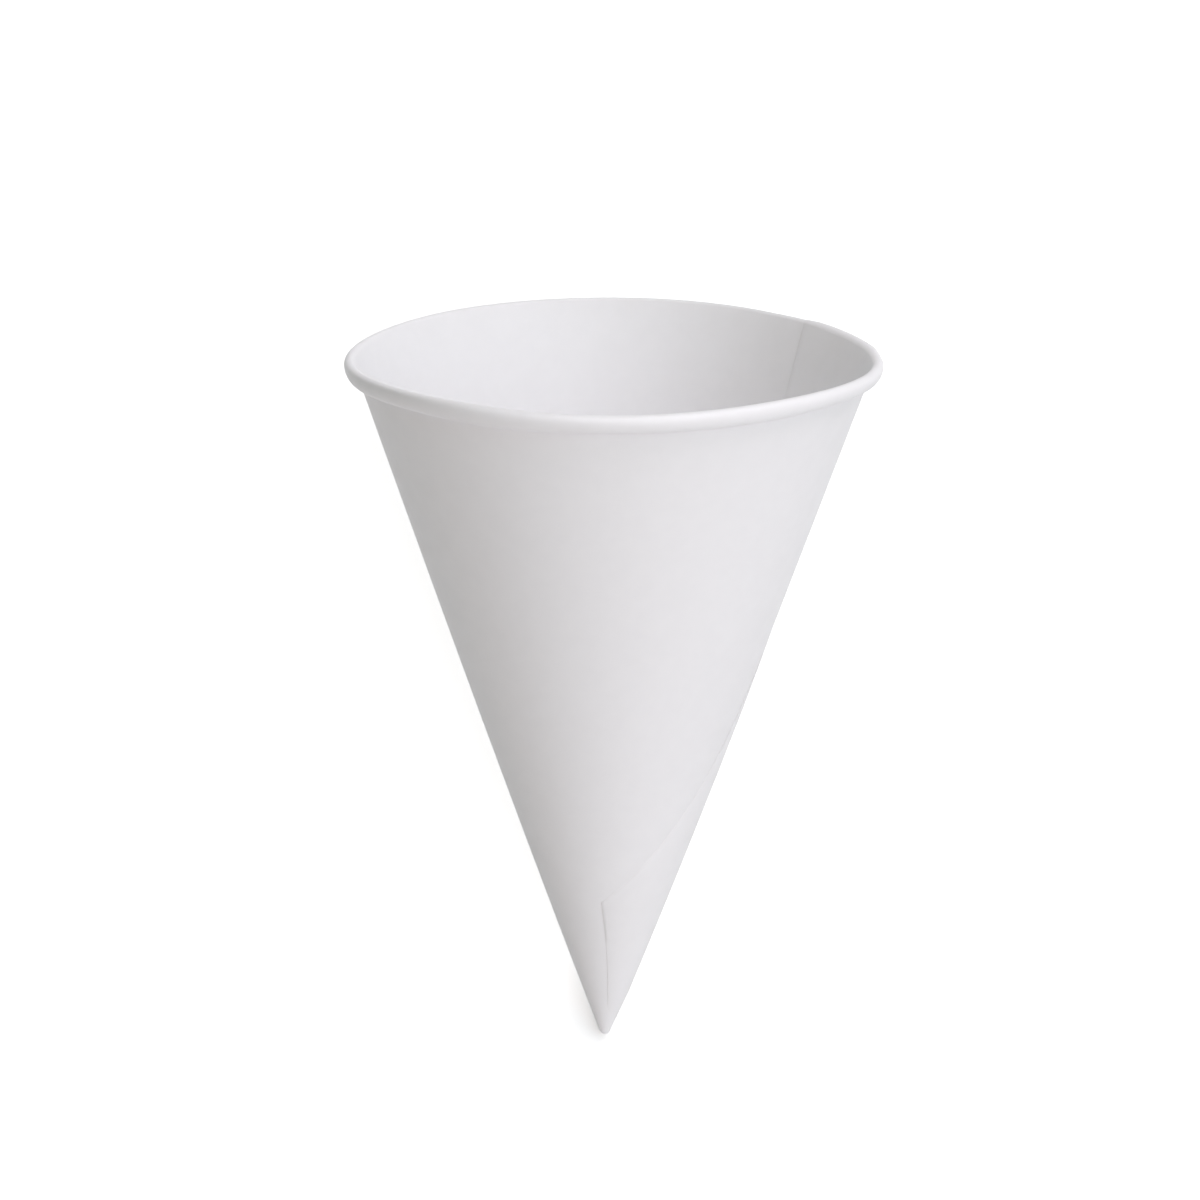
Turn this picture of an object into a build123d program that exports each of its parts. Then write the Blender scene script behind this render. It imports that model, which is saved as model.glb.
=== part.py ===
from build123d import *

import os
from math import acos, asin, atan2, cos, degrees, radians, sin, tan

os.makedirs("parts", exist_ok=True)

# Driving dimensions, in millimetres and degrees

# The cone, as it stands on its tip with its mouth up
rim_diameter = 73.0  # outside the rolled rim
cup_height = 95.5  # from the tip to the top of the rolled rim
wall_half_angle = 19.8  # between the wall and the cup's axis, above the knee
knee_height = 35.5  # below this the paper is drawn in to the pinch, so the cone is a little wider
paper = 0.25  # thickness of the sheet
tip_radius = 0.85  # outside of the pinched tip
tip_hollow_radius = 1.0  # inside round where the pinch closes

# The rolled rim, in section: the sheet turns outwards, down and back in
curl_width = 1.6  # across the wall, sheet included
curl_height = 2.55  # along the wall
curl_gap = 0.1  # clearance between the curl's inner leg and the wall
curl_leg = 0.8  # last straight stretch, tucked up inside the curl
curl_facets = 6  # flats that make up each half turn of the curl, outside
curl_hollow_facets = 4  # and on its hollow inside

# The lap, where the sheet's outer end is glued over its inner end. Turns are counted about the
# cup's axis, from the horizontal on one side, up over the top and down on the other side.
lap_start_turn = 220.0  # the inner end's straight cut edge
lap_at_rim = 16.0  # width of the double paper at the rim
lap_corner_turn = 134.0  # turn from the inner end to the outer end's corner
lap_corner_slant = 25.0  # distance of that corner from the cone's apex
lap_foot = 1.2  # clear wall between the pinched tip and the lap
lap_foot_taper = 2.0  # the outer end fades into the pinch over this length
climb_turn = 5.0  # turn in which the sheet climbs over its own inner end
step_foot = 6.0  # the step inside starts this far up the wall, where the cup is wide enough

# The spot where the soft rim is pressed flat by the surface that it lies on
flat_length = 14.0

# Construction values: how far cutting and filling shapes run past what they make
cut_steps = 8  # points on the curve of the lap's cut edge
cut_overrun = 0.04  # share of the cut's length
cut_reach = 0.3  # share of the cup's radius, in and out of the wall
flat_margin = 1.6  # share of the flat's length
sunk = 0.5  # share of the paper that an added layer is sunk into the wall
hidden_from = 0.8  # the climb starts between these two shares of the paper under the wall's face
hidden_to = 0.3
cleared = 3.0  # the step's cutter reaches this many papers into the hollow

# The section of the cup in its own half plane: x is the distance from the cup's axis, y the
# distance from the tip along the axis


def leaning(angle):
    """Unit vector along a wall that leans out by an angle, towards the mouth."""
    return Vector(sin(radians(angle)), cos(radians(angle)))


def facing(angle):
    """Unit vector out of the face of a wall that leans out by an angle."""
    return Vector(cos(radians(angle)), -sin(radians(angle)))


along = leaning(wall_half_angle)
across = facing(wall_half_angle)
curl_top_radius = curl_width / 2
curl_foot_radius = (curl_width - paper - curl_gap) / 2
curl_side = curl_height - curl_top_radius - curl_foot_radius
curl_centre = Vector(rim_diameter / 2 - curl_top_radius, cup_height - curl_top_radius)
foot_centre = curl_centre + across * (curl_top_radius - curl_foot_radius) - along * curl_side

# Outside of the wall: from the curl straight down to the knee, and from the knee on the line
# that touches the tip's round
wall_top = curl_centre - across * (curl_top_radius - paper)
knee = wall_top - along * ((wall_top.Y - knee_height) / along.Y)
tip_centre = Vector(0, tip_radius)
from_tip = knee - tip_centre
foot_half_angle = degrees(atan2(from_tip.X, from_tip.Y) - asin(tip_radius / from_tip.length))
foot_along = leaning(foot_half_angle)
foot_across = facing(foot_half_angle)
wall_foot = tip_centre + foot_across * tip_radius
knee_bend = (foot_half_angle - wall_half_angle) / 2


def beside_knee(out):
    """Section point at the knee of a face that lies out from the wall's outside."""
    return knee + facing(wall_half_angle + knee_bend) * (out / cos(radians(knee_bend)))


def half_turn(centre, radius, start, facets):
    """Section points of half a turn of the curl, clockwise from a direction in its own frame."""
    points = []
    for step in range(facets + 1):
        angle = radians(start - 180 * step / facets)
        points.append(centre + across * (radius * cos(angle)) + along * (radius * sin(angle)))
    return points


# The cup lies on its side, on its tip and on the flat spot of its rim, with its mouth to +X
flat_depth = flat_length**2 / (4 * rim_diameter)
from_rest = foot_centre - tip_centre
rest_direction = atan2(from_rest.Y, from_rest.X)
lean = acos((tip_radius - curl_foot_radius + flat_depth) / from_rest.length) - rest_direction
mouth_reach = (curl_centre.Y - tip_centre.Y) * cos(lean) + curl_centre.X * sin(lean)
tip_x = (tip_radius - curl_top_radius - mouth_reach) / 2
axis_direction = Vector(cos(lean), 0, sin(lean))
tip_point = Vector(tip_x, 0, tip_radius) - axis_direction * tip_radius
cup_axis = Axis(tip_point, axis_direction)
cup_frame = Plane(tip_point, x_dir=(0, 1, 0), z_dir=axis_direction)
turn_of_sky = 90.0
turn_of_rest = 270.0


def section_plane(turn):
    """Half plane of the section at a turn about the cup's axis."""
    outward = cup_frame.x_dir * cos(radians(turn)) + cup_frame.y_dir * sin(radians(turn))
    return Plane(tip_point, x_dir=outward, z_dir=outward.cross(axis_direction))


def strip(turn, foot, taper, inside, outside):
    """Face of a strip that follows the wall at one turn, from near the tip up into the curl."""
    top = wall_top - along * curl_side
    with BuildSketch(section_plane(turn)) as strip_face:
        with BuildLine():
            Polyline(
                wall_foot + foot_along * foot + foot_across * inside,
                beside_knee(inside),
                top + across * inside,
                top + across * outside,
                beside_knee(outside),
                wall_foot + foot_along * (foot + taper) + foot_across * outside,
                close=True,
            )
        make_face()
    return strip_face.sketch


# The lap: the sheet's outer end, a second thickness on the outside of the wall. Its long edge is
# a straight cut in the flat sheet, from the rim to the corner near the tip.
sheet_share = sin(radians(wall_half_angle))  # turn in the flat sheet for a turn about the cup
apex_height = knee.Y - knee.X / tan(radians(wall_half_angle))


def in_flat_sheet(slant, turn):
    """Point of the unrolled sheet, from its distance from the apex and its turn about the cup."""
    angle = radians(turn) * sheet_share
    return Vector(slant * cos(angle), slant * sin(angle))


cut_from = in_flat_sheet(curl_centre.X / sheet_share, degrees(lap_at_rim / curl_centre.X))
cut_to = in_flat_sheet(lap_corner_slant, lap_corner_turn)


def cut_curve(share_of_radius):
    """Curve of the cut at a share of the cup's radius there, and a little past both its ends."""
    points = []
    for step in range(cut_steps + 1):
        place = (1 + 2 * cut_overrun) * step / cut_steps - cut_overrun
        flat = cut_from + (cut_to - cut_from) * place
        turn = lap_start_turn - degrees(atan2(flat.Y, flat.X)) / sheet_share
        outward = section_plane(turn).x_dir * (flat.length * sheet_share * share_of_radius)
        height = apex_height + flat.length * along.Y
        points.append(tip_point + outward + axis_direction * height)
    return Spline(*points)


with BuildPart() as lap:
    add(strip(lap_start_turn - lap_corner_turn, lap_foot, lap_foot_taper, -sunk * paper, paper))
    revolve(axis=cup_axis, revolution_arc=lap_corner_turn)
    cut = Face.make_surface_from_curves(cut_curve(1 - cut_reach), cut_curve(1 + cut_reach))
    split(bisect_by=cut, keep=Keep.BOTTOM)

# The flat spot: the curl's whole section, one sheet deep above the surface that the cup lies on
flat_half_turn = degrees(flat_length / rim_diameter) * flat_margin
upper_turn = half_turn(curl_centre, curl_top_radius, 180, curl_facets)
lower_turn = half_turn(foot_centre, curl_foot_radius, 0, curl_facets)

with BuildPart() as flat_spot:
    with BuildSketch(section_plane(turn_of_rest - flat_half_turn)):
        with BuildLine():
            Polyline(*upper_turn, *lower_turn, close=True)
        make_face()
    revolve(axis=cup_axis, revolution_arc=2 * flat_half_turn)
    split(bisect_by=Plane.XY.offset(paper), keep=Keep.BOTTOM)
    split(bisect_by=Plane.XY, keep=Keep.TOP)

# The tip is closed: the hollow ends in a round of its own above the pinch
hollow_height = tip_radius + (paper + tip_hollow_radius - tip_radius) / foot_along.X
hollow_centre = Vector(0, hollow_height)
hollow_edge = hollow_centre + foot_across * tip_hollow_radius
hollow_low = hollow_centre - Vector(0, tip_hollow_radius)
round_middle = facing(45 + foot_half_angle / 2)

with BuildPart() as cone_cup:
    with BuildSketch(section_plane(turn_of_sky)):
        with BuildLine():
            # outside of the tip and of the wall, then the curl's inner face to the leg's cut edge
            ThreePointArc((0, 0), tip_centre + round_middle * tip_radius, wall_foot)
            leg_end = foot_centre + along * curl_leg
            Polyline(
                wall_foot,
                knee,
                *half_turn(curl_centre, curl_top_radius - paper, 180, curl_hollow_facets),
                *half_turn(foot_centre, curl_foot_radius - paper, 0, curl_hollow_facets),
                leg_end - across * (curl_foot_radius - paper),
                leg_end - across * curl_foot_radius,
                *reversed(lower_turn),
                *reversed(upper_turn),
                beside_knee(-paper),
                hollow_edge,
            )
            ThreePointArc(hollow_edge, hollow_centre + round_middle * tip_hollow_radius, hollow_low)
            Line(hollow_low, (0, 0))
        make_face()
    revolve(axis=cup_axis)

    # The sheet climbs over its own inner end: outside it rises to the lap, and inside it leaves
    # the inner end standing as a low step.
    climb_end = lap_start_turn + climb_turn
    climb_low = strip(climb_end, lap_foot, lap_foot_taper, -hidden_from * paper, -hidden_to * paper)
    climb_high = strip(lap_start_turn, lap_foot, lap_foot_taper, -sunk * paper, paper)
    loft([climb_low, climb_high], ruled=True)
    step_low = strip(climb_end, step_foot, 0, -cleared * paper, -(1 + hidden_to) * paper)
    step_high = strip(lap_start_turn, step_foot, 0, -cleared * paper, 0)
    loft([step_low, step_high], ruled=True, mode=Mode.SUBTRACT)
    add(lap.part)

    # The rim rests flat on the surface
    with Locations((mouth_reach + tip_x, 0, 0)):
        Box(
            2 * curl_height,
            rim_diameter,
            curl_width,
            align=(Align.CENTER, Align.CENTER, Align.MAX),
            mode=Mode.SUBTRACT,
        )
    add(flat_spot.part)

cone_cup.part.label = "cone_cup"
export_step(cone_cup.part, "parts/cone_cup.step")
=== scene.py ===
"""The looks of a rolled-rim cone paper cup, which lies on its side on a white surface.

The cup is one sheet of paper. It is wrapped into a cone, laps over its own start, closes in a
rounded nose at the tip and rolls outwards into a curl at the mouth. The sheet is worked out here
as one closed surface with its real thickness, its two cut edges and the layers of its lap.

Turns are counted about the cup's axis, from the photograph's right-hand side towards the camera
and on to the left. Heights are counted along the axis from the tip.
"""

import logging
import math
from dataclasses import dataclass, field
from enum import Enum

import bpy
import numpy as np
from mathutils import Matrix, Vector


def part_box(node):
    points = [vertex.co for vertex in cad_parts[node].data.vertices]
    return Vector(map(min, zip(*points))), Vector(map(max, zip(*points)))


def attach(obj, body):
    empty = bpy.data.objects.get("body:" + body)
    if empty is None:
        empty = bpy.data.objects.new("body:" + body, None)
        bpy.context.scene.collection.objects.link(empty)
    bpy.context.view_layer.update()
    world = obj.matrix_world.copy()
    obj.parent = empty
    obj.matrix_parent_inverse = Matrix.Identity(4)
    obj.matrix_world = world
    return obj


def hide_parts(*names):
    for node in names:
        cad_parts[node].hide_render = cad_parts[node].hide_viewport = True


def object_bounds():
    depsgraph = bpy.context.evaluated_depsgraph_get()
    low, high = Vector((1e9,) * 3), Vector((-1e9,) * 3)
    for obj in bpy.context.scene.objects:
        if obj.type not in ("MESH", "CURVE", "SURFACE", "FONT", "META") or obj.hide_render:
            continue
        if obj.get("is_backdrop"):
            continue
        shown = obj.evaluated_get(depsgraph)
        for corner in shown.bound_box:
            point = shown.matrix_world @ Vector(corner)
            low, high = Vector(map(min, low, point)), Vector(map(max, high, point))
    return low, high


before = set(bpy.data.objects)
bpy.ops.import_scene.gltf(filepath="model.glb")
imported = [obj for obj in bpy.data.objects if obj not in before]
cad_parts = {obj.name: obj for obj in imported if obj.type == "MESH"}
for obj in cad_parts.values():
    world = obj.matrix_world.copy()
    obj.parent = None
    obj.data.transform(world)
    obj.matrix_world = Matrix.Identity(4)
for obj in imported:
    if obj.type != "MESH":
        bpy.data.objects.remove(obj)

MM = 0.001
FULL_TURN = 360.0
HALF_TURN = 180.0
QUARTER_TURN = 90.0
WHITE = (1.0, 1.0, 1.0, 1.0)
PHOTO_WIDTH = 1200
NODE = "cone_cup"
BODY = "root"
SLOT = "white_paper"
FLAT_MAP = "flat_sheet"
EDGE_MASK = "cut_edge"
UV_UNIT = 100.0 * MM  # length of the flat sheet that one unit of its UV map stands for
SHARP_ANGLE = 40.0  # degrees between two faces that makes their edge a sharp one
SHORTEST = 1e-12  # a length to divide by where an edge has shrunk to a point

Array = np.ndarray
Place = tuple[float, float, float]
Colour = tuple[float, float, float, float]
Socket = bpy.types.NodeSocket

log = logging.getLogger(NODE)


class Face(Enum):
    """The two faces of the sheet. The inside of the wall is the outside of the curl."""

    WALL_OUTSIDE = "wall_outside"
    WALL_INSIDE = "wall_inside"


class Ray(Enum):
    """The kinds of ray that see the white of the stage, by their Light Path output."""

    CAMERA = "Is Camera Ray"
    GLOSSY = "Is Glossy Ray"
    TRANSMISSION = "Is Transmission Ray"


def smooth_rise(value: Array, start: float, end: float) -> Array:
    """Soft step from 0 at start to 1 at end: three times the share squared less twice its cube."""
    share = np.clip((value - start) / (end - start), 0.0, 1.0)
    return share**2 * (3.0 - 2.0 * share)


def new_object(name: str, data: bpy.types.ID) -> bpy.types.Object:
    """Makes an object and links it to the scene.

    Args:
        name: The name of the object.
        data: Its mesh, lamp or camera.

    Returns:
        The object.
    """
    made = bpy.data.objects.new(name, data)
    bpy.context.scene.collection.objects.link(made)
    return made


@dataclass(frozen=True)
class Wave:
    """A wave round the rim: how often it comes, and how far it moves the paper out and along."""

    times: int
    out_cos: float
    out_sin: float
    along_cos: float
    along_sin: float


@dataclass(frozen=True)
class ConeSizes:
    """Sizes of the wall, from its nose to where the curl starts."""

    paper: float = 0.25 * MM  # thickness of the sheet
    height: float = 95.36 * MM  # from the tip to the top of the curl
    gauge_height: float = 94.09 * MM
    gauge_radius: float = 34.98 * MM  # outside of the wall at the gauge height
    gauge_span: float = 96.85 * MM  # length that the cubic of the slope is written for
    slopes: tuple[float, ...] = (0.3565, -0.0035, 0.02, 0.0214)  # its terms, from the plain one up
    straight_below: float = 4.0 * MM
    hollow_radius: float = 1.0 * MM  # of the round that ends the hollow
    drawn_in: float = 0.015  # share of the rim's radius, between the quarter turns
    drawn_times: int = 4
    waves: tuple[Wave, ...] = (
        Wave(2, 0.0, -0.05 * MM, -0.17 * MM, -0.09 * MM),
        Wave(3, 0.24 * MM, 0.29 * MM, 0.04 * MM, 0.17 * MM),
        Wave(4, -0.09 * MM, 0.16 * MM, -0.13 * MM, 0.03 * MM),
    )
    tip_bend: float = 0.0055  # slant of the axis to the left, towards the tip
    tip_curve: float = 0.113  # what the square of the distance adds to it, per metre
    curve_from: float = 50.0 * MM  # where that starts, below the gauge height
    aside: float = 0.26 * MM  # place of the tip to the left of the box's middle


@dataclass(frozen=True)
class CurlSizes:
    """Sizes of the rolled rim, in the section of the sheet."""

    width: float = 1.63 * MM  # across the wall, sheet included
    lap_swell: float = 0.3 * MM  # added where the sheet is double
    gap: float = 0.1 * MM  # between the leg and the wall
    leg: float = 0.8 * MM  # last straight stretch, tucked up inside the curl
    fullness: float = 2.3  # power of the oval, where 2 is an ellipse and more is squarer
    side_stretch: float = 1.3  # length of the oval against that of a half round
    gauge_turns: tuple[float, ...] = (28.0, 57.0, 88.0, 116.0, 145.0, 200.0, 300.0)
    gauge_heights: tuple[float, ...] = (2.34, 2.65, 2.58, 2.94, 2.6, 2.54, 2.41)  # in millimetres


@dataclass(frozen=True)
class LapSizes:
    """Sizes of the lap, where the sheet's outer end covers its inner end."""

    start_turn: float = -40.0  # of the inner end's cut edge
    climb_turn: float = 90.0  # in which the sheet climbs onto its own start
    at_rim: float = 22.0  # turn that is double at the rim
    corner_slant: float = 26.6 * MM  # distance of the outer end's corner from the apex
    corner_turn: float = 135.0  # turn that is double at that corner
    foot_turn: float = 120.0  # and near the tip
    foot_slant: float = 4.2 * MM  # where the edge below the corner ends
    clearance: float = 0.015 * MM  # between the two layers
    pressed_below: float = 7.0 * MM  # height under which the layers sink into each other
    lift: float = 0.008 * MM  # by which the loose edge stands up
    lift_width: float = 1.6 * MM
    lift_zone: tuple[float, ...] = (0.5 * MM, 6.0 * MM, 20.0 * MM, 34.0 * MM)  # its heights
    edge_round: float = 0.22  # bulge of a cut edge, as a share of the paper
    feather: float = 0.75  # share of the paper by which a cut edge is pressed thin
    feather_width: float = 1.5 * MM
    feather_turn: float = 8.0  # in which the outer face starts to be pressed
    rim_end: float = 26.0  # turn up to which the curl is double
    rim_fade: float = 12.0  # in which it goes over to double and back
    least_radius: float = 0.2 * MM  # for arcs near the tip


@dataclass(frozen=True)
class Weave:
    """How finely the sheet is divided: in columns round the cup, and in rows along the rest."""

    around: int = 240
    over_lap: int = 44
    nose: int = 9
    low_wall: int = 26  # below the lap's corner
    high_wall: int = 58
    quarter: int = 8  # each small quarter round of the curl
    oval: int = 18
    leg: int = 3
    edge: int = 4  # across a cut edge
    crowding: float = 1.35  # power that draws the rows above the corner towards it

    def rows(self) -> tuple[int, ...]:
        """Rows of each stretch of the path, from the nose to the end of the leg."""
        curl = (self.quarter, self.oval, self.quarter, self.leg)
        return (self.nose, self.low_wall, self.high_wall, *curl)


class Wall:
    """The outside of the wall in its own section: a radius for each height above the tip."""

    def __init__(self, sizes: ConeSizes) -> None:
        """Works out the nose and the hollow's end, which touch the wall.

        Args:
            sizes: The wall's sizes.
        """
        self.sizes = sizes
        self._slope = np.polynomial.Polynomial(sizes.slopes)
        foot_slope = float(self.slope(np.array(0.0)))
        foot_radius = float(self.radius(np.array(0.0)))
        self.foot_angle = math.atan(foot_slope)
        foot_cos = math.cos(self.foot_angle)
        self.nose_radius = foot_radius * foot_cos / (1.0 - foot_slope * foot_cos)
        self.hollow_height = (
            (sizes.hollow_radius + sizes.paper) / foot_cos - foot_radius
        ) / foot_slope

    def slope(self, height: Array) -> Array:
        """Growth of the radius with height: a cubic in the share of the span, held near the tip."""
        clear = np.maximum(height, self.sizes.straight_below)
        return self._slope((self.sizes.gauge_height - clear) / self.sizes.gauge_span)

    def radius(self, height: Array) -> Array:
        """Radius of the outside: the gauge radius less the slope summed down to the height.

        Args:
            height: Heights above the tip.

        Returns:
            The radius at each height.
        """
        sizes = self.sizes
        clear = np.maximum(height, sizes.straight_below)
        share = (sizes.gauge_height - clear) / sizes.gauge_span
        drop = sizes.gauge_span * self._slope.integ()(share)
        return sizes.gauge_radius - drop - self.slope(height) * (clear - height)

    def normal(self, height: Array) -> tuple[Array, Array]:
        """The unit vector out of the wall: 1 and minus the slope, over the length of the two.

        Args:
            height: Heights above the tip.

        Returns:
            Its radial and axial parts at each height.
        """
        slope = self.slope(height)
        length = np.sqrt(1.0 + slope**2)
        return 1.0 / length, -slope / length


class Lie:
    """How the cup lies on the floor: on its tip and its rim, with its mouth to +X."""

    def __init__(self, low: Vector, high: Vector, wall: Wall, curl: CurlSizes) -> None:
        """Finds the lean of the axis from the height of the box that holds the cup.

        The rim's uppermost point stands at the nose's radius, plus the curl centre's reach along
        the leaning axis and across it, plus the curl's radius.

        Args:
            low: The lowest corner of the cup's box.
            high: Its highest corner.
            wall: The wall, for its nose.
            curl: The sizes of the curl.
        """
        nose = wall.nose_radius
        along = wall.sizes.height - curl.width / 2 - nose
        across = (high.y - low.y) / 2 - curl.width / 2
        rise = high.z - nose - curl.width / 2
        self.lean = math.asin(rise / math.hypot(along, across)) - math.atan2(across, along)
        self.axis = np.array((math.cos(self.lean), 0.0, math.sin(self.lean)))
        self.sky = np.array((-math.sin(self.lean), 0.0, math.cos(self.lean)))
        self.right = np.array((0.0, -1.0, 0.0))
        self.tip = np.array((low.x + nose, wall.sizes.aside, nose)) - self.axis * nose

    def place(self, radius: Array, turn: Array, height: Array) -> Array:
        """Points of the cup in the room: along the axis by height, out from it by radius and turn.

        Args:
            radius: Distances from the axis.
            turn: Turns about it, in degrees.
            height: Heights above the tip.

        Returns:
            The points, with x, y and z last.
        """
        angle = np.radians(turn)
        return (
            self.tip
            + height[..., None] * self.axis
            + (radius * np.cos(angle))[..., None] * self.right
            + (radius * np.sin(angle))[..., None] * self.sky
        )


@dataclass
class Section:
    """The sheet's path from the tip into the curl, for each row and each column of the sheet."""

    radius: Array
    height: Array
    out_radial: Array
    out_axial: Array

    def moved(self, distance: Array) -> tuple[Array, Array]:
        """Radius and height of the path after a move along its normal."""
        return self.radius + self.out_radial * distance, self.height + self.out_axial * distance


@dataclass
class WrappedSheet:
    """The whole cup: one sheet, wrapped, lapped, closed at the tip and rolled at the mouth."""

    cone: ConeSizes = field(default_factory=ConeSizes)
    curl: CurlSizes = field(default_factory=CurlSizes)
    lap: LapSizes = field(default_factory=LapSizes)
    weave: Weave = field(default_factory=Weave)

    def __post_init__(self) -> None:
        """Works out the wall and how the cup lies in the frame's box."""
        self.wall = Wall(self.cone)
        self.lie = Lie(*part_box(NODE), self.wall, self.curl)
        cone, radius = self.cone, self.curl.width / 2
        self.apex = cone.gauge_height - cone.gauge_radius / cone.slopes[0]
        self.wall_cos = 1.0 / math.hypot(1.0, cone.slopes[0])
        self.sheet_share = cone.slopes[0] * self.wall_cos
        self.top_height = cone.height - radius + self.sheet_share * (radius - cone.paper)
        self.corner_height = self.apex + self.lap.corner_slant * self.wall_cos

    def slants(self) -> Array:
        """Distance of each row from the apex of the flat sheet, along the sheet.

        Returns:
            On the wall, the height above the apex over the cosine of the wall's angle. Round the
            curl it goes on by the length of the path.
        """
        nose, low, _, *curl_rows = self.weave.rows()
        nose_rows = np.linspace(0.0, self.nose_foot(), nose + 1)[:-1]
        low_rows = np.linspace(self.nose_foot(), self.corner_height, low + 1)[:-1]
        high_rows = self.high_wall_heights()
        wall = (np.concatenate((nose_rows, low_rows, high_rows)) - self.apex) / self.wall_cos
        radius = self.curl.width / 2
        quarter, side = math.pi / 2 * radius, math.pi * self.curl.side_stretch * radius
        lengths = (quarter, side, quarter, self.curl.leg)
        steps = [np.full(rows, length / rows) for rows, length in zip(curl_rows, lengths)]
        return np.concatenate((wall, wall[-1] + np.cumsum(np.concatenate(steps))))

    def nose_foot(self) -> float:
        """Height where the round nose touches the wall."""
        return self.wall.nose_radius * (1.0 - math.sin(self.wall.foot_angle))

    def high_wall_heights(self) -> Array:
        """Heights of the rows between the lap's corner and the curl, closer near the corner."""
        share = np.linspace(0.0, 1.0, self.weave.high_wall + 1) ** self.weave.crowding
        return self.corner_height + (self.top_height - self.corner_height) * share

    def lap_turn(self, slant: Array) -> Array:
        """Turn from the sheet's start to its outer end, less one whole turn, for each slant.

        Above the corner the end is a straight cut in the flat sheet. Its point at a slant is
        where a line from the rim to the corner is that far from the apex, which is a quadratic.
        Below the corner the turn falls evenly with the slant.

        Args:
            slant: Distances from the flat sheet's apex.

        Returns:
            The turn in degrees at each slant.
        """
        lap = self.lap
        rim_slant = (self.cone.gauge_height - self.apex) / self.wall_cos
        ends = np.radians(np.array((lap.at_rim, lap.corner_turn))) * self.sheet_share
        slants = np.array((rim_slant, lap.corner_slant))
        (rim_x, corner_x), (rim_y, corner_y) = slants * np.cos(ends), slants * np.sin(ends)
        run = np.array((corner_x - rim_x, corner_y - rim_y))
        rim = np.array((rim_x, rim_y))
        square, mixed = run @ run, rim @ run
        past_corner = np.maximum(slant, corner_x)
        inside = np.maximum(mixed**2 - square * (rim @ rim - past_corner**2), 0.0)
        share = (-mixed - np.sqrt(inside)) / square
        flat_turn = np.arctan2(rim[1] + run[1] * share, rim[0] + run[0] * share)
        cut = np.degrees(flat_turn) / self.sheet_share
        fall = (slant - lap.foot_slant) / (lap.corner_slant - lap.foot_slant)
        low = lap.foot_turn + (lap.corner_turn - lap.foot_turn) * np.clip(fall, 0.0, 1.0)
        return np.where(slant < lap.corner_slant, low, cut)

    def turns(self) -> Array:
        """Turn along the sheet, from 0 at its start, for each row and column of the sheet.

        Returns:
            In the first columns the turns of once round, and in the rest equal shares of the lap,
            whose width changes with the row.
        """
        once = np.linspace(0.0, FULL_TURN, self.weave.around + 1)
        share = np.linspace(0.0, 1.0, self.weave.over_lap + 1)[1:]
        lap = self.lap_turn(self.slants())[:, None] * share[None, :]
        rows = lap.shape[0]
        return np.concatenate((np.broadcast_to(once, (rows, once.size)), FULL_TURN + lap), axis=1)

    def in_lap(self, turn: Array) -> Array:
        """Soft step up to 1 where the rim's double part starts, and down to 0 where it ends.

        Args:
            turn: Turns about the axis, in degrees.

        Returns:
            The height of the step at each turn.
        """
        lap = self.lap
        back = (turn - lap.start_turn + HALF_TURN) % FULL_TURN - HALF_TURN
        single_again = smooth_rise(back, lap.rim_end, lap.rim_end + lap.rim_fade)
        return smooth_rise(back, -lap.rim_fade, 0.0) * (1.0 - single_again)

    def curl_height(self, turn: Array) -> Array:
        """Height of the rolled rim round the cup: a smooth closed line through its gauges.

        Args:
            turn: Turns about the axis, in degrees.

        Returns:
            The height at each turn, with a soft step from each gauge to the next.
        """
        turns = np.array(self.curl.gauge_turns)
        heights = np.array(self.curl.gauge_heights) * MM
        place = turn % FULL_TURN
        right = np.searchsorted(turns, place) % turns.size
        left = right - 1
        width = (turns[right] - turns[left]) % FULL_TURN
        share = smooth_rise(((place - turns[left]) % FULL_TURN) / width, 0.0, 1.0)
        return heights[left] + (heights[right] - heights[left]) * share

    def section(self, face: Face, turn: Array) -> Section:
        """The path of one face of the sheet, for a single layer.

        The nose is a round that touches the wall, whose slope is a cubic. The curl follows in the
        frame of the wall's top.

        Args:
            face: Which face of the sheet.
            turn: The turn about the axis of each row and column.

        Returns:
            The path and its normals, which point from the wall's inside to its outside.
        """
        nose = self._nose(face)
        low, high = self._wall_rows(face)
        columns = turn.shape[1]
        flat = [np.concatenate(parts)[:, None] for parts in zip(nose, low, high)]
        rows = flat[0].shape[0]
        wall = [np.broadcast_to(part, (rows, columns)) for part in flat]
        curl = self._curl(face, turn[rows - 1 :])
        return Section(*(np.concatenate(parts) for parts in zip(wall, curl)))

    def _nose(self, face: Face) -> tuple[Array, ...]:
        """The round at the tip, by cosine and sine, from the pole to where it touches the wall.

        Args:
            face: Which face of the sheet.

        Returns:
            Radius, height and the two parts of the normal.
        """
        angle = np.linspace(-math.pi / 2, -self.wall.foot_angle, self.weave.nose + 1)[:-1]
        outside = face is Face.WALL_OUTSIDE
        radius = self.wall.nose_radius if outside else self.cone.hollow_radius
        centre = self.wall.nose_radius if outside else self.wall.hollow_height
        across, along = np.cos(angle), np.sin(angle)
        across[0] = 0.0
        return radius * across, centre + radius * along, across, along

    def _wall_rows(self, face: Face) -> list[tuple[Array, ...]]:
        """The wall below the lap's corner and above it, moved in by the paper for the inside.

        Args:
            face: Which face of the sheet.

        Returns:
            For each of the two stretches, radius, height and the two parts of the normal.
        """
        outside = face is Face.WALL_OUTSIDE
        sunk = (self.cone.hollow_radius + self.cone.paper) * math.sin(self.wall.foot_angle)
        start = self.nose_foot() if outside else self.wall.hollow_height - sunk
        low = np.linspace(start, self.corner_height, self.weave.low_wall + 1)[:-1]
        back = 0.0 if outside else self.cone.paper
        stretches = []
        for height in (low, self.high_wall_heights()):
            radial, axial = self.wall.normal(height)
            radius = self.wall.radius(height) - radial * back
            stretches.append((radius, height - axial * back, radial, axial))
        return stretches

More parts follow.
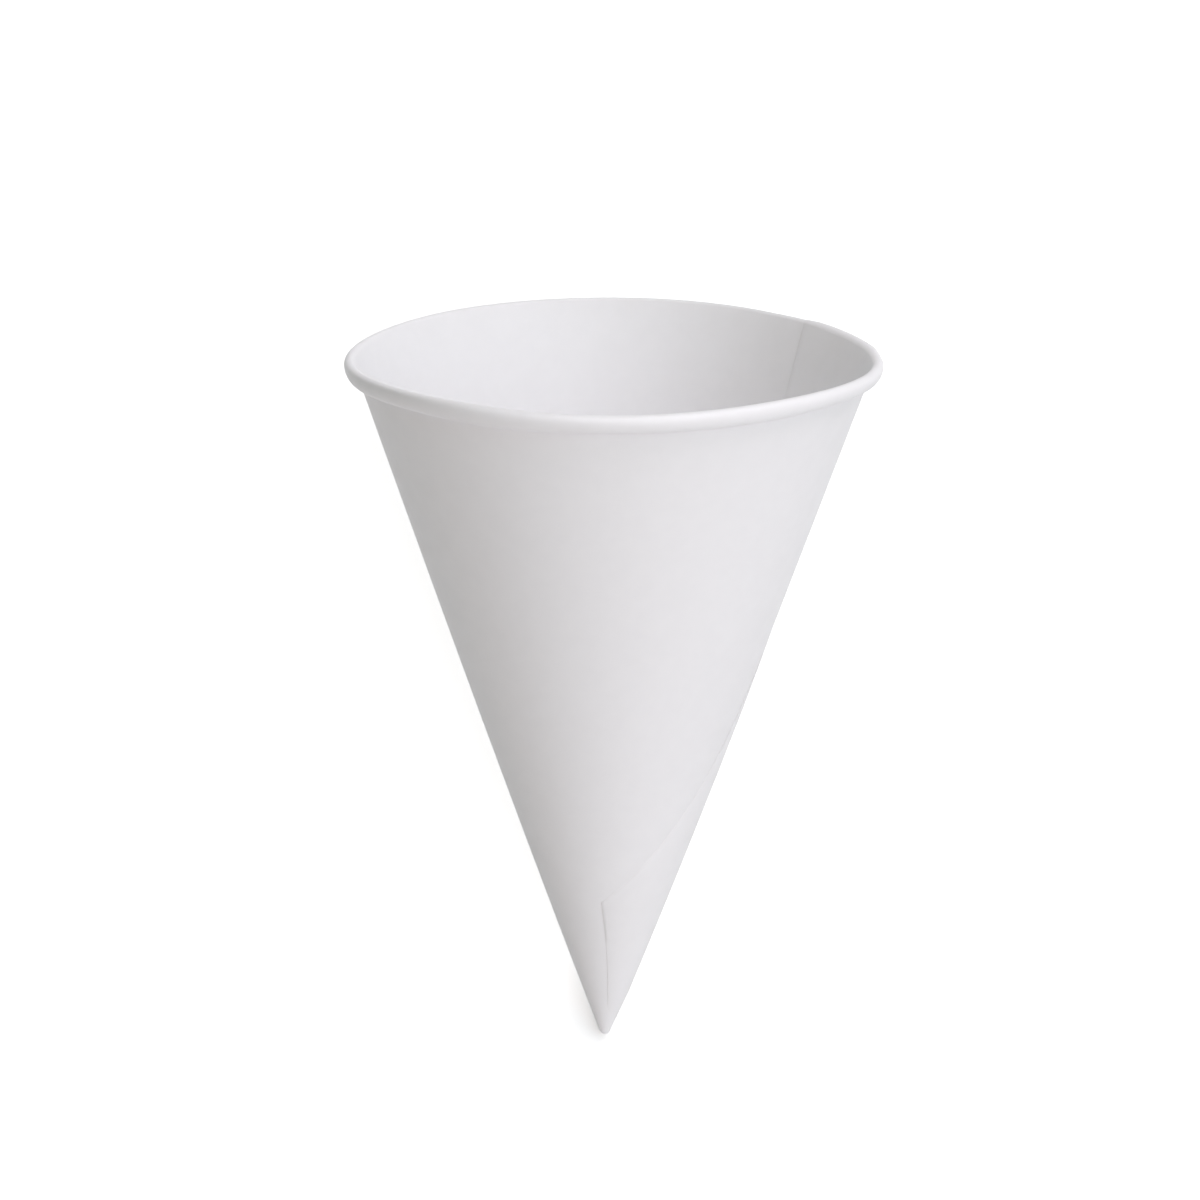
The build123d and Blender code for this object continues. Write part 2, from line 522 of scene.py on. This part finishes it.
    def _curl(self, face: Face, turn: Array) -> tuple[Array, ...]:
        """The curl of one face, worked out in the frame of the wall's top.

        Args:
            face: Which face of the sheet.
            turn: The turn about the axis of the curl's rows and columns.

        Returns:
            Radius, height and the two parts of the normal.
        """
        paper = self.cone.paper
        top_height = np.array(self.top_height)
        radial, axial = self.wall.normal(top_height)
        doubled = self.in_lap(turn)
        upper = (self.curl.width + self.curl.lap_swell * doubled) / 2
        lower = upper - (paper * (1.0 + doubled) + self.curl.gap) / 2
        across, along = self._oval(upper, lower, self.curl_height(turn))
        sweep = np.gradient(across, axis=0), np.gradient(along, axis=0)
        length = np.hypot(*sweep)
        out_across, out_along = sweep[1] / length, -sweep[0] / length
        across, along, out_across, out_along = (
            part[1:] for part in (across, along, out_across, out_along)
        )
        if face is Face.WALL_OUTSIDE:
            across, along = across + out_across * paper, along + out_along * paper
        return (
            self.wall.radius(top_height) + across * radial - along * axial,
            self.top_height + across * axial + along * radial,
            out_across * radial - out_along * axial,
            out_across * axial + out_along * radial,
        )

    def _oval(self, upper: Array, lower: Array, height: Array) -> tuple[Array, ...]:
        """The curl's outline, from the wall's inside over the top and back in to the leg.

        It is a quarter round up to the top, two quarters of an oval as high as the curl, a smaller
        quarter round back in to the wall and the straight leg. The oval's cosine and sine are
        raised to a power under one, which makes it fuller than an ellipse. Its second quarter
        drifts outwards, to end over the centre of the small round.

        Args:
            upper: Radius of the upper round.
            lower: Radius of the lower one.
            height: Height of the whole curl.

        Returns:
            Distances across the wall's top and along it, with one row before the curl's first.
        """
        _, _, _, top, side, foot, leg = self.weave.rows()
        turned = np.concatenate(
            (
                np.linspace(1.0, 0.5, top + 1),
                np.linspace(0.5, -0.5, side + 1)[1:],
                np.linspace(-0.5, -1.0, foot + 1)[1:],
                np.full(leg, -1.0),
            )
        )
        rows = np.arange(turned.size)[:, None]
        angle = math.pi * turned[:, None]
        cosine, sine = np.cos(angle), np.sin(angle)
        top_centre = upper - self.cone.paper
        middle, half = upper - height / 2, height / 2
        drift = (upper - lower) * np.clip(-sine, 0.0, 1.0)
        tucked = self.curl.leg * np.clip((rows - top - side - foot) / leg, 0.0, 1.0)
        full = 2.0 / self.curl.fullness
        bulge, rise = np.abs(cosine) ** full, np.sign(sine) * np.abs(sine) ** full
        oval = (top_centre + drift + (upper - drift) * bulge, middle + half * rise)
        first = (top_centre + upper * cosine, upper * sine)
        last = (
            top_centre + upper - lower + lower * cosine,
            middle - half + lower * (1.0 + sine) + tucked,
        )
        across, along = (
            np.where(rows <= top, before, np.where(rows <= top + side, between, after))
            for before, between, after in zip(first, oval, last)
        )
        return across, along

    def layer(self, along_sheet: Array) -> Array:
        """How far the sheet lies out from its first layer.

        The sheet leaves the round on a straight line, so before a whole turn it climbs by the
        cosine of the turn that is left, and after it the sheet lies on its own start. Near the
        tip the layers are pressed into each other. The loose edge by the corner stands up a
        little, less with the distance from the edge.

        Args:
            along_sheet: The turn along the sheet of each row and column.

        Returns:
            The distance at each row and column.
        """
        lap = self.lap
        slant = self.slants()[:, None]
        height = self.apex + slant * self.wall_cos
        left = np.clip(FULL_TURN - along_sheet, 0.0, lap.climb_turn)
        climb = np.cos(np.radians(left * QUARTER_TURN / lap.climb_turn))
        pressed = smooth_rise(height, 0.0, lap.pressed_below)
        end = FULL_TURN + self.lap_turn(self.slants())[:, None]
        radius = np.maximum(self.wall.radius(height), 0.0)
        from_edge = np.radians(end - along_sheet) * radius
        on_flap = smooth_rise(along_sheet, FULL_TURN, FULL_TURN + lap.at_rim)
        rise_from, rise_to, fall_from, fall_to = lap.lift_zone
        past_corner = smooth_rise(height, fall_from, fall_to)
        by_corner = smooth_rise(height, rise_from, rise_to) * (1.0 - past_corner)
        raised = lap.lift * np.exp(-from_edge / lap.lift_width) * on_flap * by_corner
        return (self.cone.paper + lap.clearance) * climb * pressed + raised

    def feathered(self, face: Face, along_sheet: Array) -> Array:
        """How far a face is pressed towards the other one beside the edge that it shows.

        The inside is pressed beside the sheet's start and the outside beside its outer end, by a
        share of the paper that falls with the distance from the edge.

        Args:
            face: Which face of the sheet.
            along_sheet: The turn along the sheet of each row and column.

        Returns:
            The move along the normal at each row and column.
        """
        lap = self.lap
        slant = self.slants()[:, None]
        arc = np.radians(1.0) * np.maximum(slant * self.sheet_share, lap.least_radius)
        end = FULL_TURN + self.lap_turn(self.slants())[:, None]
        inside = face is Face.WALL_INSIDE
        from_edge = (along_sheet if inside else end - along_sheet) * arc
        pressed = lap.feather * self.cone.paper * np.exp(-from_edge / lap.feather_width)
        on_flap = smooth_rise(along_sheet, FULL_TURN, FULL_TURN + lap.feather_turn)
        return pressed if inside else -pressed * on_flap

    def waved(self, radius: Array, turn: Array, height: Array) -> tuple[Array, Array]:
        """The small unroundness of a soft cup, which grows with the square of the height.

        The radius is drawn in between the quarter turns. Waves of two, three and four turns move
        the paper out and along, each with a cosine and a sine part.

        Args:
            radius: Distances from the axis.
            turn: Turns about it, in degrees.
            height: Heights above the tip.

        Returns:
            The new distances and heights.
        """
        angle = np.radians(turn)
        grown = np.clip(height / self.cone.height, 0.0, 1.0) ** 2
        drawn = self.cone.drawn_in * (1.0 - np.cos(self.cone.drawn_times * angle)) / 2.0
        radius = radius * (1.0 - drawn * grown)
        for wave in self.cone.waves:
            cosine, sine = np.cos(wave.times * angle), np.sin(wave.times * angle)
            radius = radius + grown * (wave.out_cos * cosine + wave.out_sin * sine)
            height = height + grown * (wave.along_cos * cosine + wave.along_sin * sine)
        return radius, height

    def surface(self, face: Face) -> Array:
        """One face of the sheet in the room.

        The section is moved out by the layer, made a little unround, set on the floor and bent to
        the left towards the tip, by a share of the distance and, further down, by its square.

        Args:
            face: Which face of the sheet.

        Returns:
            Points in rows and columns.
        """
        along_sheet = self.turns()
        turn = along_sheet + self.lap.start_turn
        move = self.layer(along_sheet) + self.feathered(face, along_sheet)
        radius, height = self.section(face, turn).moved(move)
        radius, height = self.waved(radius, turn, height)
        points = self.lie.place(radius, turn, height)
        below = self.cone.gauge_height - height
        curved = np.maximum(below - self.cone.curve_from, 0.0)
        bend = self.cone.tip_bend * below + self.cone.tip_curve * curved**2
        return points - bend[..., None] * self.lie.right

    def faces(self) -> tuple[Array, Array]:
        """Both faces, lifted together where the lower one would sink into the floor.

        Returns:
            The wall's outside and its inside, as points in rows and columns.
        """
        outside, inside = self.surface(Face.WALL_OUTSIDE), self.surface(Face.WALL_INSIDE)
        lift = np.maximum(0.0, -np.minimum(outside[..., 2], inside[..., 2]))
        outside[..., 2] += lift
        inside[..., 2] += lift
        return outside, inside

    def flat_places(self) -> Array:
        """Place of each row and column in the flat sheet: its slant, turned by its share.

        Returns:
            Two lengths for each row and column.
        """
        slant = self.slants()[:, None]
        angle = np.radians(self.turns()) * self.sheet_share
        return np.stack((slant * np.cos(angle), slant * np.sin(angle)), axis=-1)

    def cut_edge(self, outer: Array, inner: Array, outward: float) -> Array:
        """Points across a cut edge, from the outer face to the inner one.

        They lie on the line between the faces, pushed out along the sheet by a half sine.

        Args:
            outer: The edge on the wall's outside, in order.
            inner: The same edge on the inside.
            outward: 1 or -1, the side on which the sheet ends.

        Returns:
            The points between the two faces, for each place along the edge.
        """
        share = np.linspace(0.0, 1.0, self.weave.edge + 1)[1:-1]
        middle = (outer + inner) / 2
        thick = outer - inner
        push = np.cross(np.gradient(middle, axis=0), thick)
        push /= np.maximum(np.linalg.norm(push, axis=1), SHORTEST)[:, None]
        bulge = self.lap.edge_round * self.cone.paper * np.sin(math.pi * share) * outward
        line = outer[:, None] + (inner - outer)[:, None] * share[:, None]
        return line + push[:, None] * bulge[:, None]

    def build(self) -> bpy.types.Object:
        """Joins the faces, the two cut edges, the leg's end and the closed tip into one mesh.

        Returns:
            The cup.
        """
        outside, inside = self.faces()
        between = self.weave.edge - 1
        start = self.cut_edge(outside[:, 0], inside[:, 0], 1.0)
        end = self.cut_edge(outside[:, -1], inside[:, -1], -1.0)
        leg_end = self.cut_edge(outside[-1], inside[-1], 1.0)
        end[0] = start[0] = outside[0, 0] + (inside[0, 0] - outside[0, 0]) * (
            np.linspace(0.0, 1.0, between + 2)[1:-1, None]
        )
        flat = self.flat_places()
        points = VertexPool()
        out_ids = points.grid(outside, flat, 0.0, pole=True)
        in_ids = points.grid(inside, flat, 0.0, pole=True)
        start_ids = points.grid(start, np.repeat(flat[:, :1], between, 1), 1.0)
        end_ids = points.grid(end[1:], np.repeat(flat[1:, -1:], between, 1), 1.0)
        end_ids = np.concatenate((start_ids[:1], end_ids))
        cap_ids = points.grid(leg_end[1:-1], np.repeat(flat[-1, 1:-1, None], between, 1), 1.0)

        start_strip = np.concatenate((out_ids[:, :1], start_ids, in_ids[:, :1]), axis=1)
        end_strip = np.concatenate((out_ids[:, -1:], end_ids, in_ids[:, -1:]), axis=1)
        cap = np.concatenate((start_ids[-1:], cap_ids, end_ids[-1:]))
        cap_strip = np.concatenate((out_ids[-1][:, None], cap, in_ids[-1][:, None]), axis=1)
        patches = (out_ids, in_ids[:, ::-1], start_strip[:, ::-1], end_strip, cap_strip.T)
        polygons = [face for patch in patches for face in patch_faces(patch)]
        log.info("cup: %d faces", len(polygons))
        return points.mesh_object("paper_cup", polygons)


class VertexPool:
    """The vertices of a mesh, each with its place in the flat sheet and its cut-edge mark, which
    carries a painted highlight.
    """

    def __init__(self) -> None:
        """Starts empty."""
        self.places: list[Array] = []
        self.flats: list[Array] = []
        self.edge_and_highlight_marks: list[Array] = []
        self.count = 0

    def grid(self, points: Array, flat: Array, raw_edge_and_highlight: float, pole: bool = False) -> Array:
        """Adds a grid of points.

        Args:
            points: Points in rows and columns.
            flat: Their places in the flat sheet.
            raw_edge_and_highlight: 1 on a cut edge, which gets a lighter tone and a painted
                highlight, and 0 on a face of the sheet.
            pole: Whether the first row is one single point.

        Returns:
            The number of each vertex, in the same rows and columns.
        """
        rows, columns = points.shape[:2]
        ids = np.arange(rows * columns).reshape(rows, columns) + self.count
        keep = np.ones(rows * columns, bool)
        if pole:
            keep[1:columns] = False
            ids[0] = self.count
            ids[1:] -= columns - 1
        self.places.append(points.reshape(-1, 3)[keep])
        self.flats.append(flat.reshape(-1, 2)[keep])
        self.edge_and_highlight_marks.append(np.full(int(keep.sum()), raw_edge_and_highlight))
        self.count += int(keep.sum())
        return ids

    def mesh_object(self, name: str, polygons: list[list[int]]) -> bpy.types.Object:
        """Makes the mesh, with its flat places as a UV map and its cut-edge marks, which carry a
        painted highlight, as an attribute.

        Args:
            name: The name of the object.
            polygons: The vertex numbers of each face.

        Returns:
            The object.
        """
        mesh = bpy.data.meshes.new(name)
        mesh.from_pydata(np.concatenate(self.places), [], polygons)
        corners = np.zeros(len(mesh.loops), np.int32)
        mesh.loops.foreach_get("vertex_index", corners)
        flat = np.concatenate(self.flats)[corners] / UV_UNIT
        uv_map = mesh.uv_layers.new(name=FLAT_MAP)
        uv_map.data.foreach_set("uv", flat.astype(np.float32).ravel())
        raw_edge_and_highlight = mesh.attributes.new(EDGE_MASK, "FLOAT", "POINT")
        raw_edge_and_highlight.data.foreach_set("value", np.concatenate(self.edge_and_highlight_marks).astype(np.float32))
        mesh.polygons.foreach_set("use_smooth", np.ones(len(mesh.polygons), bool))
        mesh.update()
        mesh.set_sharp_from_angle(angle=math.radians(SHARP_ANGLE))
        return new_object(name, mesh)


def patch_faces(ids: Array) -> list[list[int]]:
    """Faces of a grid of vertex numbers, with triangles where an edge has shrunk to a point.

    Args:
        ids: Vertex numbers in rows and columns.

    Returns:
        The vertex numbers of each face, all turning the same way.
    """
    corners = (ids[:-1, :-1], ids[1:, :-1], ids[1:, 1:], ids[:-1, 1:])
    quads = np.stack(corners, axis=-1).reshape(-1, 4)
    pinched = quads[:, 0] == quads[:, 3]
    return quads[~pinched].tolist() + quads[pinched][:, :3].tolist()


class Nodes:
    """Short ways to place and join the nodes of one tree."""

    # Colour sockets of a Mix node, which has more than one of each name
    MIX_FACTOR, MIX_FIRST, MIX_SECOND, MIX_RESULT = 0, 6, 7, 2

    def __init__(self, tree: bpy.types.NodeTree) -> None:
        """Takes the tree to work in."""
        self.tree = tree

    def add(self, kind: str, **values: object) -> bpy.types.Node:
        """Adds a node.

        Args:
            kind: The node's type.
            **values: Its values, as fill takes them.

        Returns:
            The node.
        """
        node = self.tree.nodes.new(kind)
        self.fill(node, **values)
        return node

    def fill(self, node: bpy.types.Node, **values: object) -> None:
        """Sets properties and sockets of a node.

        Args:
            node: The node.
            **values: Their values, with an underscore for each space in a socket's name.
        """
        for name, value in values.items():
            if hasattr(node, name):
                setattr(node, name, value)
            else:
                node.inputs[name.replace("_", " ")].default_value = value

    def join(self, start: Socket, end: Socket) -> None:
        """Joins two sockets."""
        self.tree.links.new(start, end)

    def mix(self, factor: object, first: object, second: object) -> Socket:
        """Mixes two colours, each a socket or a plain colour.

        Args:
            factor: A socket or a number.
            first: The colour where the factor is 0.
            second: The colour where it is 1.

        Returns:
            The mixed colour.
        """
        node = self.add("ShaderNodeMix", data_type="RGBA")
        places = (self.MIX_FACTOR, self.MIX_FIRST, self.MIX_SECOND)
        for place, value in zip(places, (factor, first, second)):
            if isinstance(value, Socket):
                self.join(value, node.inputs[place])
            else:
                node.inputs[place].default_value = value
        return node.outputs[self.MIX_RESULT]

    def scaled_sum(self, first: Socket, share: float, second: Socket) -> Socket:
        """Adds two values up, the first of them times a share.

        Args:
            first: The socket that is scaled.
            share: What it is scaled by.
            second: The socket that is added.

        Returns:
            The sum.
        """
        node = self.add("ShaderNodeMath", operation="MULTIPLY_ADD")
        self.join(first, node.inputs[0])
        node.inputs[1].default_value = share
        self.join(second, node.inputs[2])
        return node.outputs[0]

    def ramp(self, value: Socket, low: float, high: float, start: float, end: float) -> Socket:
        """Maps a value from low and high to start and end, and stops there.

        Args:
            value: The socket to map.
            low: Value that gives start.
            high: Value that gives end.
            start: The least result.
            end: The greatest result.

        Returns:
            The mapped value.
        """
        node = self.add("ShaderNodeMapRange")
        self.join(value, node.inputs[0])
        for place, number in enumerate((low, high, start, end), start=1):
            node.inputs[place].default_value = number
        return node.outputs[0]


@dataclass(frozen=True)
class PaperGrain:
    """The pressed fibres of white paper, at their real sizes, as a node group for its materials."""

    name: str = "paper_grain"
    cloud_scale: float = 420.0  # clouds in a metre
    fibre_scale: float = 3200.0  # fibres in a metre
    streak_stretch: Place = (60.0, 900.0, 1.0)
    cloud_share: float = 0.3  # of the clouds in the height
    fibre_share: float = 0.5  # and of the fibres

    def group(self) -> bpy.types.NodeTree:
        """Builds the group.

        Clouds are noise a few millimetres wide, fibres are fine noise, and streaks are noise drawn
        out along the flat sheet.

        Returns:
            The group, which puts out Cloud, and Height as the sum of all three.
        """
        tree = bpy.data.node_groups.new(self.name, "ShaderNodeTree")
        for name in ("Height", "Cloud"):
            tree.interface.new_socket(name, in_out="OUTPUT", socket_type="NodeSocketFloat")
        nodes = Nodes(tree)
        out = nodes.add("NodeGroupOutput")
        place = nodes.add("ShaderNodeTexCoord")
        cloud = nodes.add("ShaderNodeTexNoise", Scale=self.cloud_scale, Detail=4.0, Roughness=0.6)
        fibre = nodes.add("ShaderNodeTexNoise", Scale=self.fibre_scale, Detail=3.0, Roughness=0.55)
        for noise in (cloud, fibre):
            nodes.join(place.outputs["Object"], noise.inputs["Vector"])
        flat = nodes.add("ShaderNodeUVMap", uv_map=FLAT_MAP)
        drawn = nodes.add("ShaderNodeMapping", Scale=self.streak_stretch)
        streak = nodes.add("ShaderNodeTexNoise", Scale=1.0, Detail=3.0, Roughness=0.5)
        nodes.join(flat.outputs["UV"], drawn.inputs["Vector"])
        nodes.join(drawn.outputs["Vector"], streak.inputs["Vector"])
        fine = nodes.scaled_sum(fibre.outputs["Fac"], self.fibre_share, streak.outputs["Fac"])
        height = nodes.scaled_sum(cloud.outputs["Fac"], self.cloud_share, fine)
        nodes.join(height, out.inputs["Height"])
        nodes.join(cloud.outputs["Fac"], out.inputs["Cloud"])
        return tree


@dataclass(frozen=True)
class WhitePaper:
    """Smooth matt white paper with a faint satin sheen, and brighter cut edges: the bare paper's
    own tone and a painted highlight.
    """

    face: Colour = (0.9, 0.89, 0.9, 1.0)
    cloudy: Colour = (0.89, 0.88, 0.891, 1.0)
    # Colour of the cut edges: the bare paper's lighter tone, brightened further as a painted
    # highlight
    raw_edge_and_highlight: Colour = (0.96, 0.955, 0.95, 1.0)
    cloud_low: float = 0.35  # the grain's clouds go from none to full between these two
    cloud_high: float = 0.65
    least_roughness: float = 0.56
    most_roughness: float = 0.68
    refraction: float = 1.46
    sheen: float = 0.4
    grain_depth: float = 0.012 * MM
    grain_strength: float = 0.35
    grain: PaperGrain = field(default_factory=PaperGrain)

    def material(self) -> bpy.types.Material:
        """Builds the material.

        Returns:
            The material, with colour, roughness and bump from the grain and the cut edges.
        """
        made = bpy.data.materials.new(SLOT)
        made.use_nodes = True
        nodes = Nodes(made.node_tree)
        shader = made.node_tree.nodes["Principled BSDF"]
        nodes.fill(shader, IOR=self.refraction, Specular_IOR_Level=self.sheen)
        grain = nodes.add("ShaderNodeGroup", node_tree=self.grain.group())
        edge = nodes.add("ShaderNodeAttribute", attribute_name=EDGE_MASK)
        clouds, low, high = grain.outputs["Cloud"], self.cloud_low, self.cloud_high
        face = nodes.mix(nodes.ramp(clouds, low, high, 0.0, 1.0), self.face, self.cloudy)
        # Painted highlight on the cut edges, together with the bare paper's lighter tone
        colour = nodes.mix(edge.outputs["Fac"], face, self.raw_edge_and_highlight)
        rough = nodes.ramp(clouds, low, high, self.least_roughness, self.most_roughness)
        nodes.join(colour, shader.inputs["Base Color"])
        nodes.join(rough, shader.inputs["Roughness"])
        bump = nodes.add("ShaderNodeBump", Strength=self.grain_strength, Distance=self.grain_depth)
        nodes.join(grain.outputs["Height"], bump.inputs["Height"])
        nodes.join(bump.outputs["Normal"], shader.inputs["Normal"])
        return made


@dataclass(frozen=True)
class SoftLamp:
    """One square lamp, aimed at the cup."""

    name: str
    place: Place
    size: float
    power: float
    colour: Place

    def build(self, aim: Vector) -> None:
        """Adds the lamp.

        Args:
            aim: The point that it shines at.
        """
        lamp = bpy.data.lights.new(self.name, "AREA")
        lamp.shape = "SQUARE"
        lamp.size = self.size
        lamp.energy = self.power
        lamp.color = self.colour
        made = new_object(self.name, lamp)
        made.location = self.place
        made.rotation_euler = (aim - Vector(self.place)).to_track_quat("-Z", "Y").to_euler()


@dataclass(frozen=True)
class WhiteStage:
    """The white floor with a painted shadow beside the tip, the pale room and the lamps."""

    floor_half: float = 3.0
    floor_drop: float = 0.02 * MM
    floor_colour: Colour = (0.72, 0.72, 0.72, 1.0)
    floor_roughness: float = 0.9
    floor_glow: float = 0.7  # strength of the white that is seen on the floor
    glow_in_painted_shadow: float = 0.34  # weaker beside the tip: painted shadow
    painted_shadow_middle: Place = (-0.0503, 0.0021, 0.0)  # middle of the painted shadow, where the white is weakest
    painted_shadow_reach: float = 10.5 * MM  # distance at which the painted shadow ends and the white is full again
    room_colour: Colour = (1.0, 1.0, 0.56, 1.0)
    room_strength: float = 0.118
    lamps: tuple[SoftLamp, ...] = (
        SoftLamp("key_lamp", (0.05, -0.62, 0.9), 0.55, 3.5, (0.77, 0.9, 1.0)),
        SoftLamp("overhead_lamp", (-0.1, 0.0, 1.2), 0.7, 1.27, (1.0, 0.7, 0.49)),
        SoftLamp("mouth_right_lamp", (0.8, -0.5, 0.8), 0.6, 6.6, (1.0, 0.94, 1.0)),
        SoftLamp("mouth_left_lamp", (0.8, 0.5, 0.8), 0.6, 1.94, (0.69, 0.82, 1.0)),
        SoftLamp("tip_right_lamp", (-0.8, -0.5, 0.8), 0.6, 4.4, (0.96, 0.91, 1.0)),
        SoftLamp("tip_left_lamp", (-0.8, 0.5, 0.8), 0.6, 2.55, (0.82, 0.85, 1.0)),
    )

    def build(self, aim: Vector) -> None:
        """Adds the floor, the room and the lamps.

        Args:
            aim: The point that the lamps shine at.
        """
        self._floor()
        self._room()
        for lamp in self.lamps:
            lamp.build(aim)
            log.info("lamp %s", lamp.name)

    def _seen(self, nodes: Nodes) -> Socket:
        """Tells the rays that see the white of the stage: the greatest of their outputs.

        Args:
            nodes: The tree to work in.

        Returns:
            1 for those rays and 0 for all others.
        """
        path = nodes.add("ShaderNodeLightPath")
        seen = path.outputs[Ray.CAMERA.value]
        for ray in (Ray.GLOSSY, Ray.TRANSMISSION):
            either = nodes.add("ShaderNodeMath", operation="MAXIMUM")
            nodes.join(seen, either.inputs[0])
            nodes.join(path.outputs[ray.value], either.inputs[1])
            seen = either.outputs[0]
        return seen

    def _floor(self) -> None:
        """Adds the floor, just under the cup, with a white that is seen but lights nothing.

        The white is weaker round the tip, so that the cup's cast shadow stays visible there; that
        weaker white is a painted shadow as well.
        """
        half = self.floor_half
        corners = ((-half, -half), (half, -half), (half, half), (-half, half))
        mesh = bpy.data.meshes.new("floor")
        mesh.from_pydata([(*corner, -self.floor_drop) for corner in corners], [], [(0, 1, 2, 3)])
        made = new_object("floor", mesh)
        material = bpy.data.materials.new("white_floor")
        material.use_nodes = True
        nodes = Nodes(material.node_tree)
        shader = material.node_tree.nodes["Principled BSDF"]
        nodes.fill(shader, Base_Color=self.floor_colour, Roughness=self.floor_roughness)
        nodes.fill(shader, Specular_IOR_Level=0.0, Emission_Color=WHITE)
        # Painted shadow: the seen white falls off towards a point beside the tip
        place = nodes.add("ShaderNodeTexCoord")
        away = nodes.add("ShaderNodeVectorMath", operation="DISTANCE")
        nodes.join(place.outputs["Object"], away.inputs[0])
        away.inputs[1].default_value = self.painted_shadow_middle
        reach, least, most = self.painted_shadow_reach, self.glow_in_painted_shadow, self.floor_glow
        white = nodes.ramp(away.outputs["Value"], 0.0, reach, least, most)
        glow = nodes.add("ShaderNodeMath", operation="MULTIPLY")
        nodes.join(self._seen(nodes), glow.inputs[0])
        nodes.join(white, glow.inputs[1])
        nodes.join(glow.outputs[0], shader.inputs["Emission Strength"])
        mesh.materials.append(material)
        made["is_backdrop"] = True
        log.info("floor")

    def _room(self) -> None:
        """Lights the room evenly, and shows white behind the floor's far end."""
        world = bpy.data.worlds.new("room")
        bpy.context.scene.world = world
        world.use_nodes = True
        nodes = Nodes(world.node_tree)
        world.node_tree.nodes.clear()
        out = nodes.add("ShaderNodeOutputWorld")
        light = nodes.add("ShaderNodeBackground", Color=self.room_colour)
        nodes.fill(light, Strength=self.room_strength)
        white = nodes.add("ShaderNodeBackground", Color=WHITE, Strength=1.0)
        mix = nodes.add("ShaderNodeMixShader")
        for place, source in enumerate((self._seen(nodes), light.outputs[0], white.outputs[0])):
            nodes.join(source, mix.inputs[place])
        nodes.join(mix.outputs[0], out.inputs["Surface"])


@dataclass(frozen=True)
class PhotoCamera:
    """The camera, above the lying cup and a little towards its tip."""

    distance: float = 1.5  # from the rim's centre
    above_rim: float = 12.84  # degrees above the rim's plane
    pixels_per_metre: float = 7.4015 / MM  # of the photograph, at that distance
    rim_pixel: tuple[float, float] = (611.9, 364.4)  # of the rim's centre, from the top left
    roll: float = 0.15  # degrees about the line of sight
    sensor: float = 36.0  # in millimetres
    sees_to: float = 20.0

    def build(self, lie: Lie, rim_height: float) -> None:
        """Adds the camera and makes it the scene's own.

        It is raised from the rim's plane towards the mouth, and turned so that the rim's centre
        falls on its pixel of the photograph.

        Args:
            lie: How the cup lies.
            rim_height: Height of the rim's plane above the tip.
        """
        raised, roll = math.radians(self.above_rim), math.radians(self.roll)
        rim = lie.tip + lie.axis * rim_height
        back = lie.sky * math.cos(raised) + lie.axis * math.sin(raised)
        down = lie.sky * math.sin(raised) - lie.axis * math.cos(raised)
        right = lie.right * math.cos(roll) - down * math.sin(roll)
        down = lie.right * math.sin(roll) + down * math.cos(roll)
        place = rim + back * self.distance
        middle = PHOTO_WIDTH / 2
        off_right = (self.rim_pixel[0] - middle) / self.pixels_per_metre
        off_down = (self.rim_pixel[1] - middle) / self.pixels_per_metre
        aim = rim - right * off_right - down * off_down
        back = (place - aim) / np.linalg.norm(place - aim)
        across = np.cross(-down, back)
        across /= np.linalg.norm(across)
        up = np.cross(back, across)
        camera = bpy.data.cameras.new("photo_camera")
        camera.sensor_width = self.sensor
        camera.lens = self.sensor * self.pixels_per_metre * self.distance / PHOTO_WIDTH
        camera.clip_end = self.sees_to
        made = new_object("photo_camera", camera)
        columns = np.stack((across, up, back, place), axis=1)
        made.matrix_world = Matrix(np.vstack((columns, (0.0, 0.0, 0.0, 1.0))).tolist())
        bpy.context.scene.camera = made
        log.info("camera: lens %.1f mm at %.2f m", camera.lens, self.distance)


def main() -> None:
    """Builds the cup, its paper, the stage and the camera, in that order."""
    logging.basicConfig(level=logging.INFO, format="%(name)s: %(message)s")
    cad_low, cad_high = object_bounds()
    sheet = WrappedSheet()
    cup = sheet.build()
    cup.data.materials.append(WhitePaper().material())
    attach(cup, BODY)
    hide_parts(NODE)
    log.info("cup: lean %.3f degrees", math.degrees(sheet.lie.lean))
    WhiteStage().build((cad_low + cad_high) / 2)
    PhotoCamera().build(sheet.lie, sheet.cone.gauge_height)
    bpy.context.scene.view_settings.view_transform = "Standard"


if __name__ == "__main__":
    main()
